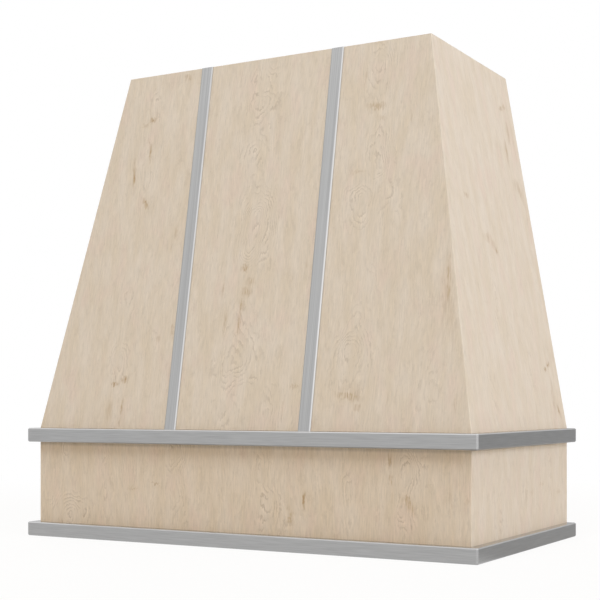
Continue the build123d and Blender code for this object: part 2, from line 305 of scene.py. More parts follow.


# Marks in the veneer. A mark gives how far it is from the middle of the cover and
# from its lower rim in millimetres, its half width, its half height and its lean in degrees. Last
# comes how many growth lines a loop has, or how strong a knot or a streak is.

FRONT_LOOPS = (
    (-4, 876, 40, 26, 0, 3.5),
    (-6, 828, 54, 34, 0, 5.0),
    (-15, 740, 40, 26, 0, 4.0),
    (-8, 684, 30, 20, 0, 2.0),
    (6, 614, 54, 52, 10, 9.0),
    (-6, 546, 38, -30, 0, 3.5),
    (-10, 330, 62, -52, 0, 7.0),
    (-24, 254, 44, 30, 0, 2.5),
    (70, 250, 40, 50, 0, 2.5),
    (-262, 862, 26, 28, 0, 3.0),
    (-266, 716, 14, 44, 0, 2.5),
    (-274, 346, 32, 40, 0, 5.0),
    (-268, 470, 22, 40, 0, 2.5),
    (-194, 386, 14, 24, 0, 2.0),
    (236, 872, 32, 44, 0, 5.0),
    (246, 734, 30, 36, 0, 3.0),
    (258, 684, 38, -28, 24, 4.0),
    (212, 622, 38, 32, 0, 4.5),
    (276, 628, 32, -40, 12, 3.0),
    (254, 486, 30, 22, 0, 2.0),
    (222, 352, 50, 44, 0, 7.0),
    (230, 410, 40, 30, 0, 2.0),
    (370, 280, 34, -40, 0, 2.5),
)
FRONT_KNOTS = (
    (-262, 821, 8, 5, 14, 0.75),
    (-281, 812, 9, 4, 18, 0.50),
    (-258, 651, 4, 13, 36, 0.70),
    (-188, 900, 8, 5, -20, 0.45),
    (-193, 384, 6, 7, 0, 0.40),
    (-262, 306, 9, 6, 0, 0.80),
    (-284, 299, 9, 3.5, 6, 0.80),
    (-13, 510, 7, 6, 0, 0.70),
    (4, 484, 10, 7, 10, 0.45),
    (-4, 466, 11, 8, 0, 0.55),
    (-11, 441, 6, 9, 0, 0.60),
    (-14, 402, 4, 14, 6, 0.50),
    (233, 793, 18, 6, -6, 0.58),
    (246, 770, 10, 4, -20, 0.30),
    (208, 674, 14, 3, 0, 0.35),
    (222, 274, 24, 6, -6, 0.50),
    (243, 253, 6, 6, 0, 0.60),
    (230, 280, 26, 20, 0, 0.16),
)
FRONT_STREAKS = (
    (-265, 778, 3, 9, 30, 0.65),
    (-260, 753, 3, 24, 0, 0.75),
    (-294, 714, 4, 46, 4, 0.60),
    (-293, 700, 2.5, 16, 0, 0.35),
    (-163, 402, 3.5, 12, 0, 0.45),
    (-178, 590, 3, 16, 0, 0.40),
    (-184, 562, 3, 14, 0, 0.30),
    (-261, 252, 3, 22, 0, 0.70),
    (-290, 244, 9, 30, 0, 0.40),
    (-262, 225, 3, 12, 0, 0.40),
    (-45, 410, 4, 28, 0, 0.35),
    (-56, 480, 3.5, 26, 0, 0.40),
    (-14, 425, 2.5, 40, 4, 0.30),
    (397, 474, 4, 50, 2, 0.42),
    (396, 446, 12, 80, 2, 0.28),
    (410, 396, 8, 44, 8, 0.24),
    (207, 846, 2.5, 26, -4, 0.30),
    (304, 766, 3, 16, 0, 0.30),
    (118, 510, 3, 12, 0, 0.25),
    (116, 290, 10, 4, 0, 0.50),
    (96, 250, 3, 22, 0, 0.30),
    (300, 268, 2.5, 16, 0, 0.30),
    (424, 258, 5, 18, 0, 0.35),
)
SIDE_LOOPS = (
    (-20, 450, 40, 50, 0, 2.5),
    (110, 330, 44, 60, 0, 2.0),
    (-110, 300, 30, 50, 0, 2.0),
)
SIDE_KNOTS = (
    (213, 847, 7, 6, 0, 0.90),
    (194, 840, 11, 4, 12, 0.70),
    (-77, 630, 9, 4, 0, 0.65),
    (-4, 562, 20, 8, 0, 0.45),
    (18, 552, 12, 8, 0, 0.40),
    (30, 540, 7, 5, 0, 0.60),
    (208, 335, 9, 5, 10, 0.90),
    (186, 326, 7, 4, 0, 0.95),
    (-14, 449, 9, 1.5, 0, 0.40),
    (-66, 439, 16, 1.5, 0, 0.30),
    (222, 678, 8, 20, 24, 0.42),
    (204, 688, 14, 12, 0, 0.20),
    (226, 246, 5, 14, 30, 0.70),
    (206, 276, 16, 10, 0, 0.14),
)
SIDE_STREAKS = (
    (184, 750, 7, 32, 0, 0.60),
    (212, 796, 8, 28, 0, 0.60),
    (236, 780, 7, 60, 0, 0.20),
    (238, 640, 7, 80, 0, 0.16),
    (206, 270, 9, 44, -6, 0.45),
)
LEFT_LOOPS = (
    (40, 690, 40, 70, 0, 3.5),
    (-60, 430, 36, 60, 0, 4.0),
    (120, 520, 30, 50, 0, 3.0),
)
LEFT_KNOTS = (
    (52, 604, 8, 8, 0, 0.60),
    (60, 585, 5, 14, 12, 0.40),
    (-70, 340, 8, 5, -20, 0.65),
    (150, 800, 6, 8, 0, 0.50),
    (170, 396, 14, 5, -10, 0.40),
)
LEFT_STREAKS = (
    (20, 500, 4, 50, 4, 0.35),
    (186, 640, 6, 60, 0, 0.35),
    (-130, 500, 4, 40, 0, 0.30),
)
SKIRT_LOOPS = (
    (-384, 46, 62, 46, 0, 7.5),
    (-396, 168, 30, -24, 0, 3.0),
    (-292, 132, 12, 46, 0, 3.5),
    (-130, 160, 38, -36, 0, 5.0),
    (-118, 84, 34, 40, 30, 2.5),
    (52, 150, 22, 40, 0, 3.0),
    (78, 78, 44, 36, 0, 5.0),
    (346, 150, 38, 38, 0, 5.5),
    (340, 76, 26, 36, 26, 3.0),
    (226, 120, 22, 50, 0, 2.0),
)
SKIRT_KNOTS = (
    (-176, 111, 9, 2, 0, 0.85),
    (-228, 99, 13, 1.5, 0, 0.45),
    (112, 76, 4, 5, 0, 0.30),
    (119, 66, 6, 5, 0, 0.50),
    (116, 56, 6, 4, 0, 0.60),
    (346, 90, 5, 17, 28, 0.65),
    (336, 100, 8, 4, 30, 0.22),
)
SKIRT_STREAKS = (
    (143, 93, 3.2, 17, -3, 1.25),
    (309, 164, 4, 16, -4, 0.75),
    (311, 134, 3.5, 13, 0, 0.80),
    (314, 104, 3, 12, 0, 0.25),
    (420, 100, 4, 34, 0, 0.25),
    (449, 102, 4, 6, 0, 0.35),
    (286, 66, 6, 6, 0, 0.20),
)
SKIRT_SIDE_LOOPS = (
    (-108, 72, 26, 30, 0, 4.0),
    (144, 140, 26, 24, 0, 2.5),
    (20, 100, 30, 30, 0, 1.5),
)
SKIRT_SIDE_KNOTS = (
    (107, 111, 13, 3, 4, 0.45),
    (52, 99, 9, 3, 0, 0.25),
    (206, 90, 12, 3, -4, 0.35),
)
SKIRT_SIDE_STREAKS = (
    (160, 94, 3, 14, 30, 0.25),
)


# Sizes of the veneer's patterns in millimetres: across the grain, along it and between sheets.
DRIFT_SIZE = (90, 260, 1)
WARM_SIZE = (22, 110, 1)
PINK_SIZE = (40, 90, 1)
HAIR_SIZE = (1.1, 26, 1)
FIBRE_SIZE = (2.2, 24, 1)
BUNDLE_SIZE = (4.6, 80, 1)
PORE_SIZE = (1.7, 10, 1)
RELIEF_SIZE = (64, 340, 1)
BEND_ACROSS_SIZE = (40, 90, 1)
BEND_ALONG_SIZE = (55, 60, 1)
WAVE_SIZE = (8, 22, 1)
RIPPLE_SIZE = (2.6, 7, 1)
PATCH_SIZE = (18, 30, 1)
RAG_ACROSS_SIZE = (5, 12, 1)
RAG_ALONG_SIZE = (4, 9, 1)

# How far the patterns stray in millimetres.
DRIFT = 4
BEND = 8
RAG_ACROSS = 2.6
RAG_ALONG = 5

# How many growth lines the relief has from its lowest to its highest place, how far they stray,
# and how far each one's pale neighbour lies from it, all counted in lines.
RELIEF_LINES = 14.0
WAVE = 0.30
RIPPLE = 0.20
PALE_OFFSET = 0.30

# Where a mark is full and where it ends, in half widths, and how much longer a loop's tail is.
LOOP_SPAN = (-0.4, 1.25)
KNOT_SPAN = (0.1, 1.6)
STREAK_SPAN = (0.0, 1.3)
LOOP_TAIL = 2.2

# Widths of the painted shade lines beside the straps and under the upper band, in millimetres.
STRAP_SHADE_LINE = 2.6
SKIRT_SHADE_LINE = 9.0
SKIRT_SIDE_SHADE_LINE = 3.6

END_PORE_SIZE = (1.2, 1.2, 1.2)
SKIN_BLUR = 0.08
WOOD_SPECULAR = 0.30
SHELF_SPECULAR = 0.28

# A mark is this deep, so that its depth counts for nothing, and a board's backing takes its
# pattern from a sheet this far from its face's.
FLAT_DEPTH = 1e6
BACKING_SHEET = 40.0


def reach_of(graph, place, mark, tail):
    """How far a place is from a mark's middle, as a share of its half width and half height.

    Below the middle the half height is that many times larger. A negative one turns it over.
    """
    across, along, half_width, half_height, lean, _ = mark
    inputs = {
        "Vector": place,
        "Location": (across, along, 0),
        "Rotation": (0, 0, math.radians(lean)),
        "Scale": (half_width, half_height, FLAT_DEPTH),
    }
    local = graph.add("ShaderNodeMapping", inputs, vector_type="TEXTURE").outputs[0]
    if tail == 1.0:
        return graph.vector("LENGTH", local)
    x, y, _ = graph.add("ShaderNodeSeparateXYZ", {"Vector": local}).outputs
    drop = graph.math("MAXIMUM", y, graph.times(y, -1 / tail))
    return graph.vector("LENGTH", graph.point(x, drop, 0))


def marks_on(graph, place, marks, span, tail=1.0):
    """The marks' strengths added up, each fading from its middle outwards, slower below it."""
    start, end = span
    total = 0.0
    for mark in marks:
        reach = reach_of(graph, place, mark, tail)
        total = graph.plus(total, graph.fade(reach, end, start, 0.0, mark[-1]))
    return total


def shade_lines_on(graph, aside, height, shade_lines):
    """Painted shade: thin dark lines in the wood where a strap or a band lies against it and shade
    falls, 0 to 1.
    """
    total = 0.0
    for position, upright, width in shade_lines:
        away = graph.math("ABSOLUTE", graph.less(aside if upright else height, position))
        total = graph.math("MAXIMUM", total, graph.fade(away, width, 0.3 * width))
    return total


def growth_lines(graph, sheet, loops):
    """Lines round the contours of a long, low relief: above 0 on a line, below 0 beside it."""
    bend_across = graph.sway(sheet, BEND_ACROSS_SIZE, BEND, detail=2)
    bend_along = graph.sway(sheet, BEND_ALONG_SIZE, BEND, detail=2)
    bent = graph.vector("ADD", sheet, graph.point(bend_across, bend_along, 0))
    raised_up = marks_on(graph, bent, loops, LOOP_SPAN, LOOP_TAIL)
    relief = graph.linear(graph.noise(sheet, RELIEF_SIZE, detail=1.5), RELIEF_LINES, raised_up)
    relief = graph.plus(relief, graph.sway(sheet, WAVE_SIZE, WAVE, detail=2))
    relief = graph.plus(relief, graph.sway(sheet, RIPPLE_SIZE, RIPPLE))
    dark = graph.fade(graph.math("PINGPONG", relief, 0.5), 0.24, 0.03)
    beside = graph.math("PINGPONG", graph.plus(relief, PALE_OFFSET), 0.5)
    lines = graph.less(dark, graph.fade(beside, 0.22, 0.02, 0.0, 0.60))
    near_loops = graph.math("MINIMUM", graph.linear(raised_up, 0.30, 0.28), 1.0)
    patches = graph.fade(graph.noise(sheet, PATCH_SIZE, detail=2), 0.38, 0.64, 0.06, 1.25)
    return graph.times(lines, graph.times(near_loops, patches))


def between_skins(graph, depth, thickness, skin):
    """1 inside the plies and 0 in the two skins of a board, by the depth below its face."""
    under_skin = graph.fade(depth, skin, skin + SKIN_BLUR)
    over_backing = graph.fade(depth, thickness - skin, thickness - skin - SKIN_BLUR)
    return graph.times(under_skin, over_backing)


def ply_colour(graph, settings, place, depth):
    """Cut plies, every other one end grain, with thin glue lines."""
    layer = graph.math("DIVIDE", depth, settings.ply / MM)
    turned = graph.math("GREATER_THAN", graph.math("FRACT", graph.times(layer, 0.5)), 0.5)
    pores = graph.noise(place, END_PORE_SIZE, detail=2)
    shade = graph.linear(turned, -0.16, 1.04)
    shade = graph.plus(shade, graph.linear(pores, 0.24, -0.12))
    glue = graph.fade(graph.math("PINGPONG", layer, 0.5), 0.06, 0.0, 0.0, 0.30)
    return graph.scaled(tuple(settings.core), graph.less(shade, glue))


def wood_tone(graph, settings, sheet, tint):
    """The veneer before its figure: pale and tan stretches with faint pink clouds."""
    warm = graph.fade(graph.noise(sheet, WARM_SIZE, detail=3, roughness=0.55), 0.30, 0.70)
    colour = graph.mix(warm, tuple(settings.light), tuple(settings.dark))
    pink = graph.fade(graph.noise(sheet, PINK_SIZE, detail=2), 0.50, 0.72, 0.0, 0.7)
    colour = graph.mix(pink, colour, tuple(settings.blush))
    return graph.vector("MULTIPLY", colour, tuple(tint))


def upright_fibres(graph, sheet):
    """The fibres alone, and the fibres with finer hairs and wider bundles added."""
    hair = graph.noise(sheet, HAIR_SIZE, detail=2, roughness=0.6)
    fibre = graph.noise(sheet, FIBRE_SIZE, detail=1)
    bundle = graph.noise(sheet, BUNDLE_SIZE, detail=1)
    return fibre, graph.linear(bundle, 0.28, graph.linear(hair, 0.5, fibre))


def stained(graph, settings, colour, flat, uneven, knots, streaks):
    """A colour with ragged brown knots and streaks in it, as strong as uneven lets them be."""
    rag_across = graph.sway(flat, RAG_ACROSS_SIZE, RAG_ACROSS, detail=2)
    rag_along = graph.sway(flat, RAG_ALONG_SIZE, RAG_ALONG)
    ragged = graph.vector("ADD", flat, graph.point(rag_across, rag_along, 0))
    knotty = graph.times(marks_on(graph, ragged, knots, KNOT_SPAN), uneven)
    streaky = graph.times(marks_on(graph, ragged, streaks, STREAK_SPAN), uneven)
    stain = graph.times(graph.plus(knotty, streaky), 0.9)
    colour = graph.mix(graph.math("MINIMUM", stain, 1.0), colour, tuple(settings.knot))
    return graph.mix(graph.fade(knotty, 0.55, 0.95, 0.0, 0.30), colour, tuple(settings.heart))


def veneer_material(settings, name, tint, vivid, across, outward, on_face, thickness, seed, figure):
    """Veneered plywood with upright grain. Outward is square to the face, through on_face."""
    loops, knots, streaks, shade_lines = figure
    material, graph, shader = new_material(name)
    place = graph.millimetres()
    aside = graph.dot(place, across)
    height = graph.dot(place, UP)
    depth = graph.less(outward.dot(on_face) / MM, graph.dot(place, outward))
    backing = graph.math("GREATER_THAN", depth, thickness / 2)
    outside = graph.less(1.0, backing)
    layer = graph.linear(backing, BACKING_SHEET, seed)
    flat = graph.point(aside, height, layer)
    drifted = graph.plus(aside, graph.sway(flat, DRIFT_SIZE, DRIFT))
    sheet = graph.point(drifted, height, layer)

    colour = wood_tone(graph, settings, sheet, tint)
    lines = growth_lines(graph, sheet, loops)
    line_depth = settings.line_depth * vivid
    darker = graph.times(graph.math("MAXIMUM", lines, 0.0), line_depth)
    colour = graph.mix(darker, colour, tuple(settings.line))

    fibre, fibres = upright_fibres(graph, sheet)
    fibre_depth = settings.fibre_depth * vivid
    shade = graph.linear(fibres, -fibre_depth, 1.0 + 0.9 * fibre_depth)
    shade = graph.linear(graph.math("MINIMUM", lines, 0.0), -0.45 * line_depth, shade)
    pores = graph.fade(graph.noise(sheet, PORE_SIZE, detail=1), 0.60, 0.72)
    shade = graph.linear(pores, -settings.dash_depth * vivid, shade)
    # Painted shade: the wood is darkened in thin lines beside the straps and under the upper band.
    line_shade = graph.times(shade_lines_on(graph, aside, height, shade_lines), outside)
    shade = graph.linear(line_shade, -settings.shade_line_depth, shade)
    colour = graph.scaled(colour, shade)

    uneven = graph.times(graph.fade(fibre, 0.30, 0.62, 0.35, 1.25), outside)
    colour = stained(graph, settings, colour, flat, uneven, knots, streaks)
    inside = between_skins(graph, depth, thickness, settings.skin / MM)
    colour = graph.mix(inside, colour, ply_colour(graph, settings, place, depth))

    shader.inputs["Specular IOR Level"].default_value = WOOD_SPECULAR
    relief = graph.plus(graph.times(fibres, 0.6), graph.times(lines, 0.5))
    finish(graph, shader, colour, graph.linear(fibres, 0.10, 0.50), relief, 0.12, 0.5)
    return material


# Sizes of the timber's patterns in millimetres, along the grain and across it.
RING_SIZE = (700, 34)
RING_WAVE_SIZE = (90, 9)
RING_WAVE = 0.15
RINGS = 26.0
TIMBER_FIBRE_SIZE = (60, 0.8)


def stretched(axis, length, width):
    """A size that is longer along one axis."""
    return [length if i == axis else width for i in range(3)]


def timber_material(settings, name, axis):
    """Planed softwood with its grain along an axis, and growth rings on its ends."""
    material, graph, shader = new_material(name)
    place = graph.millimetres()
    relief = graph.noise(place, stretched(axis, *RING_SIZE), detail=1.0, roughness=0.3)
    wave = graph.sway(place, stretched(axis, *RING_WAVE_SIZE), RING_WAVE)
    phase = graph.math("FRACT", graph.linear(relief, RINGS, wave))
    late = graph.times(graph.math("POWER", phase, 2.0), graph.fade(phase, 1.0, 0.86))
    colour = graph.mix(graph.times(late, 0.75), tuple(settings.early), tuple(settings.late))
    fibres = graph.noise(place, stretched(axis, *TIMBER_FIBRE_SIZE), detail=2, roughness=0.6)
    on_end = graph.math("ABSOLUTE", graph.dot(graph.facing(), stretched(axis, 1, 0)))
    shade = graph.linear(fibres, 0.16, 0.92)
    shade = graph.linear(graph.fade(on_end, 0.5, 0.9), -0.14, shade)
    shader.inputs["Specular IOR Level"].default_value = WOOD_SPECULAR
    rough = graph.linear(fibres, 0.12, 0.52)
    finish(graph, shader, graph.scaled(colour, shade), rough, fibres, 0.10, 0.5)
    return material


# Sizes of the shelf's patterns in millimetres, from side to side, to the back and up.
SHELF_RELIEF_SIZE = (420, 70, 400)
SHELF_WAVE_SIZE = (30, 8, 400)
SHELF_WAVE = 0.2
SHELF_LINES = 15.0
SHELF_FIBRE_SIZE = (60, 1.0, 1.0)


def shelf_material(veneer, timber, low_z, thickness):
    """Sanded plywood with level plies, its face grain from side to side."""
    material, graph, shader = new_material("shelf_plywood")
    place = graph.millimetres()
    height = graph.dot(place, UP)
    depth = graph.less(height, low_z / MM)
    relief = graph.noise(place, SHELF_RELIEF_SIZE, detail=1.5, roughness=0.4)
    wave = graph.sway(place, SHELF_WAVE_SIZE, SHELF_WAVE, detail=2)
    lines = graph.math("POWER", graph.math("FRACT", graph.linear(relief, SHELF_LINES, wave)), 2.5)
    fibres = graph.noise(place, SHELF_FIBRE_SIZE, detail=2, roughness=0.6)
    shade = graph.linear(fibres, 0.12, 0.95)
    shade = graph.linear(lines, -0.06, shade)
    face = graph.scaled(tuple(timber.shelf), shade)
    inside = between_skins(graph, depth, thickness, veneer.skin / MM)
    colour = graph.mix(inside, face, ply_colour(graph, veneer, place, depth))
    shader.inputs["Specular IOR Level"].default_value = SHELF_SPECULAR
    finish(graph, shader, colour, graph.linear(fibres, 0.1, 0.55), fibres, 0.08, 0.4)
    return material


SHEEN_CLOUD_SIZE = (90, 90, 90)
MOTTLE_SIZE = (1.6, 1.6, 1.6)


def metal_material(settings, name, grain, vivid=1.0):
    """Brushed sheet metal. Grain is how long the streaks are along each axis in millimetres."""
    material, graph, shader = new_material(name)
    place = graph.millimetres()
    hair = graph.noise(place, [0.8 * length for length in grain], detail=2, roughness=0.6)
    streak = graph.noise(place, [1.5 * length for length in grain], detail=1)
    cloud = graph.noise(place, SHEEN_CLOUD_SIZE, detail=2)
    mixed = graph.linear(hair, 0.6, streak)
    mixed = graph.linear(cloud, 0.12, mixed)
    depth = settings.streak_depth * vivid
    shade = graph.linear(mixed, depth, 1.0 - 0.86 * depth)
    rough = graph.linear(mixed, 0.08, settings.roughness - 0.06)
    on_top = graph.fade(graph.dot(graph.facing(), UP), 0.75, 0.95)
    rough = graph.linear(on_top, -settings.top_polish, rough)
    shader.inputs["Metallic"].default_value = 1.0
    finish(graph, shader, graph.scaled(tuple(settings.metal), shade), rough, hair, 0.01, 0.35)
    return material


def zinc_material(settings):
    """Zinc plating with a faint crystal mottle."""
    material, graph, shader = new_material("zinc_plate")
    place = graph.millimetres()
    mottle = graph.noise(place, MOTTLE_SIZE, detail=3, roughness=0.6)
    colour = graph.scaled(tuple(settings.zinc), graph.linear(mottle, 0.30, 0.82))
    shader.inputs["Metallic"].default_value = 1.0
    finish(graph, shader, colour, graph.linear(mottle, 0.2, 0.24), mottle, 0.03, 0.4)
    return material


# ---------------------------------------------------------------- shaping

# Corners this close in metres are one. Faces this near in angle are one flat face, edges sharper
# than the next are rounded, and a screw's edges sharper than the last stay crisp.
MERGE = 1e-6
FLAT_ANGLE = math.radians(1)
SHARP_ANGLE = math.radians(15)
SMOOTH_ANGLE = math.radians(35)

# Normals look the same way, or nearly along an axis, from this cosine up.
SAME_WAY = 0.999
FACING = 0.9

# Flats that round an edge, a strap's edge and a mitred corner.
EDGE_STEPS = 2
STRAP_STEPS = 3
CORNER_STEPS = 8


def new_object(name, data):
    """An object in the scene that shows a mesh, a lamp or a camera."""
    made = bpy.data.objects.new(name, data)
    bpy.context.scene.collection.objects.link(made)
    return made


def object_of(bm, name):
    """A new object from a closed mesh, with its faces turned outwards."""
    bmesh.ops.recalc_face_normals(bm, faces=bm.faces)
    mesh = bpy.data.meshes.new(name)
    bm.to_mesh(mesh)
    bm.free()
    return new_object(name, mesh)


def solid_of(node):
    """A CAD board's flat-sided outline, without its screw holes, as a new mesh."""
    bm = bmesh.new()
    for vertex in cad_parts[node].data.vertices:
        bm.verts.new(vertex.co)
    bmesh.ops.remove_doubles(bm, verts=bm.verts, dist=MERGE)
    bmesh.ops.convex_hull(bm, input=bm.verts)
    bmesh.ops.delete(bm, geom=[v for v in bm.verts if not v.link_faces], context="VERTS")
    bmesh.ops.dissolve_limit(bm, angle_limit=FLAT_ANGLE, verts=bm.verts, edges=bm.edges)
    bmesh.ops.recalc_face_normals(bm, faces=bm.faces)
    return bm


def cut(bm, plane):
    """Takes off what lies beyond a plane, given as (point, outward normal), and closes the cut."""
    point, outward = plane
    everything = bm.verts[:] + bm.edges[:] + bm.faces[:]
    bmesh.ops.bisect_plane(
        bm, geom=everything, dist=MERGE / 10, plane_co=point, plane_no=outward, clear_outer=True
    )
    bmesh.ops.holes_fill(bm, edges=[e for e in bm.edges if e.is_boundary])


def cut_all(bm, planes):
    for plane in planes:
        cut(bm, plane)


def round_over(point, first, second, radius, steps):
    """Planes that round the edge between two faces, by their normals and a point on it."""
    centre = point - (first + second) * radius / (1 + first.dot(second))
    planes = []
    for i in range(steps):
        outward = first.slerp(second, (i + 0.5) / steps)
        planes.append((centre + outward * radius, outward))
    return planes


def edge_planes(bm, radius, steps=EDGE_STEPS, wanted=lambda first, second: True):
    """Planes that round every sharp edge whose two faces are wanted."""
    planes = []
    for edge in bm.edges:
        first, second = (face.normal.copy() for face in edge.link_faces)
        if first.angle(second) > SHARP_ANGLE and wanted(first, second):
            planes += round_over(edge.verts[0].co.copy(), first, second, radius, steps)
    return planes


def is_mitre(normal):
    """Whether a face is the upright 45-degree cut at a corner."""
    return abs(normal.x) > 0.5 and abs(abs(normal.x) - abs(normal.y)) < 0.1


def is_level(normal):
    """Whether a face looks straight up or down."""
    return abs(normal.z) >= FACING


def is_end(normal):
    """Whether a band's face is hidden: its mitre, its open side or its end at the wall."""
    return normal.y > 0.5 or is_mitre(normal)


def mitre_planes(bm, outward, radius):
    """Planes that round the outer corners where a panel meets its neighbours."""
    planes = []
    for edge in bm.edges:
        faces = sorted(edge.link_faces, key=lambda face: -face.normal.dot(outward))
        if faces[0].normal.dot(outward) > SAME_WAY and is_mitre(faces[1].normal):
            side = 1 if edge.verts[0].co.x > 0 else -1
            flip = Vector((side * abs(outward.y), -abs(outward.x), outward.z))
            planes += round_over(edge.verts[0].co.copy(), outward, flip, radius, CORNER_STEPS)
    return planes


def as_piece(bm, name, material, node):
    """A finished piece from a mesh, in place of a CAD node."""
    return dress(object_of(bm, name), material, node)


def dress(piece, material, node):
    """Gives a piece its material, its body and the node it stands for."""
    if not piece.data.materials:
        piece.data.materials.append(material)
    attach(piece, BODY)
    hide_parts(node)
    return piece


def recolour(node, material):
    """Puts a material on a CAD node that keeps its own shape."""
    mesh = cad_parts[node].data
    mesh.materials.clear()
    mesh.materials.append(material)


def eased_board(node, name, material, radius):
    """A board of the inner frame with all its edges rounded a little."""
    bm = solid_of(node)
    cut_all(bm, edge_planes(bm, radius))
    return as_piece(bm, name, material, node)


def panel(node, name, outward, material, settings):
    """A mitred panel: its outer corners rounded over the joint and its other edges eased."""
    bm = solid_of(node)
    planes = mitre_planes(bm, outward, settings.corner_radius)
    planes += edge_planes(
        bm, settings.edge_radius, wanted=lambda a, b: not (is_mitre(a) or is_mitre(b))
    )
    cut_all(bm, planes)
    return as_piece(bm, name, material, node)


def outer_face(node, roughly):
    """Exact normal of a CAD board's face that looks roughly one way, and a point on it."""
    bm = solid_of(node)
    face = max(bm.faces, key=lambda f: f.normal.dot(roughly))
    found = face.normal.copy(), face.verts[0].co.copy()
    bm.free()
    return found


def board_thickness(node, outward, point):
    """How far a board reaches below its outer face."""
    bm = solid_of(node)
    depth = max((point - v.co).dot(outward) for v in bm.verts)
    bm.free()
    return depth / MM


def veneered(context, node, name, roughly, across, seed, figure, tint=(1.0, 1.0, 1.0), vivid=1.0):
    """A panel with its own sheet of veneer, which the seed chooses."""
    settings = context.scene.hood_cover.veneer
    outward, point = outer_face(node, roughly)
    thickness = board_thickness(node, outward, point)
    material = veneer_material(
        settings, name + "_veneer", tint, vivid, across, outward, point, thickness, seed, figure
    )
    return panel(node, name, outward, material, settings)


def strap_shade_lines(width):
    """Where the front panel gets painted shade, in thin lines along the right edges of the straps."""
    return tuple((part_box(f"{side}_strap")[1].x / MM, True, width) for side in ("left", "right"))


def band_shade_lines(width):
    """Where the skirt gets a painted shade line, along the upper band's lower edge."""
    low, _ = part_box("upper_band_front")
    return ((low.z / MM, False, width),)


FRONT_FIGURE = (FRONT_LOOPS, FRONT_KNOTS, FRONT_STREAKS, strap_shade_lines(STRAP_SHADE_LINE))
SIDE_FIGURE = (SIDE_LOOPS, SIDE_KNOTS, SIDE_STREAKS, ())
LEFT_FIGURE = (LEFT_LOOPS, LEFT_KNOTS, LEFT_STREAKS, ())
SKIRT_FIGURE = (SKIRT_LOOPS, SKIRT_KNOTS, SKIRT_STREAKS, band_shade_lines(SKIRT_SHADE_LINE))
SKIRT_SIDE_FIGURE = (
    SKIRT_SIDE_LOOPS, SKIRT_SIDE_KNOTS, SKIRT_SIDE_STREAKS, band_shade_lines(SKIRT_SIDE_SHADE_LINE)
)


# ---------------------------------------------------------------- operators

class HOOD_OT_casing(bpy.types.Operator):
    """Make the three panels of the leaning casing"""
    bl_idname = "hood.casing"
    bl_label = "Casing panels"

    def execute(self, context):
        veneered(context, "front_panel", "casing_front", FRONT, RIGHT, 3.0, FRONT_FIGURE)
        calm = context.scene.hood_cover.veneer.side_vivid
        sides = (("right", RIGHT, 11.0, SIDE_FIGURE), ("left", -RIGHT, 19.0, LEFT_FIGURE))
        for side, way, seed, figure in sides:
            name = f"casing_{side}"
            veneered(context, f"{side}_side_panel", name, way, -FRONT, seed, figure, vivid=calm)
        return {"FINISHED"}


class HOOD_OT_skirt(bpy.types.Operator):
    """Make the three boards of the upright skirt"""
    bl_idname = "hood.skirt"
    bl_label = "Skirt boards"

    def execute(self, context):
        veneer = context.scene.hood_cover.veneer
        # The skirt's front takes a tint that paints shade on it, darker and warmer.
        veneered(
            context, "skirt_front", "skirt_board_front", FRONT, RIGHT, 27.0, SKIRT_FIGURE,
            veneer.skirt_shade_tint, veneer.skirt_vivid,
        )
        for side, way, seed in (("right", RIGHT, 33.0), ("left", -RIGHT, 37.0)):
            name = f"skirt_board_{side}"
            veneered(context, f"{side}_skirt_side", name, way, -FRONT, seed, SKIRT_SIDE_FIGURE)
        return {"FINISHED"}


CAVITY_MARGIN = 4 * MM
LEVEL_WITHIN = 0.1 * MM


def lining(bm, core_node):
    """Planes of a band's core that lie behind its sheet, not level with a face of the band."""
    core = solid_of(core_node)
    outer = [(face.normal.copy(), face.verts[0].co.copy()) for face in bm.faces]
    own = []
    for face in core.faces:
        point, normal = face.verts[0].co.copy(), face.normal.copy()
        shared = any(
            normal.dot(other) > SAME_WAY and abs((point - at).dot(other)) < LEVEL_WITHIN
            for other, at in outer
        )
        if not shared:
            own.append((point, normal))
    core.free()
    return own


def cavity(bm, planes):
    """A solid that fills a band's inside and reaches past its open side and ends."""
    low = Vector([min(v.co[i] for v in bm.verts) - CAVITY_MARGIN for i in range(3)])
    high = Vector([max(v.co[i] for v in bm.verts) + CAVITY_MARGIN for i in range(3)])
    size = Matrix.Diagonal((*(high - low), 1))
    block = bmesh.new()
    bmesh.ops.create_cube(block, size=1, matrix=Matrix.Translation((low + high) / 2) @ size)
    cut_all(block, planes)
    return block


def folded_sheet(node, core_node, name, material, radius):
    """A band's metal sheet, hollow behind, with rounded folds."""
    bm = solid_of(node)
    inside = cavity(bm, lining(bm, core_node))
    cut_all(bm, edge_planes(bm, radius, wanted=lambda a, b: not (is_end(a) or is_end(b))))
    piece = as_piece(bm, name, material, node)
    carve(piece, inside)
    return piece


def carve(piece, inside):
    """Cuts a solid out of a piece."""
    cutter = object_of(inside, "inside")
    tool = piece.modifiers.new("carve", "BOOLEAN")
    tool.operation = "DIFFERENCE"
    tool.solver = "EXACT"
    tool.object = cutter
    depsgraph = bpy.context.evaluated_depsgraph_get()
    carved = bpy.data.meshes.new_from_object(piece.evaluated_get(depsgraph))
    piece.modifiers.clear()
    piece.data = carved
    bpy.data.objects.remove(cutter)


class HOOD_OT_bands(bpy.types.Operator):
    """Make the two metal bands round the skirt"""
    bl_idname = "hood.bands"
    bl_label = "Metal bands"

    def execute(self, context):
        settings = context.scene.hood_cover.metal
        crosswise = metal_material(settings, "metal_brushed_across", (40, 1, 1))
        backwards = metal_material(settings, "metal_brushed_back", (1, 40, 1))
        for level in ("upper", "lower"):
            folded_sheet(
                f"{level}_band_front", f"{level}_band_core_front", f"{level}_sheet_front",
                crosswise, settings.fold_radius,
            )
            for side in ("right", "left"):
                folded_sheet(
                    f"{side}_{level}_band", f"{side}_{level}_band_core", f"{level}_sheet_{side}",
                    backwards, settings.fold_radius,
                )
        return {"FINISHED"}


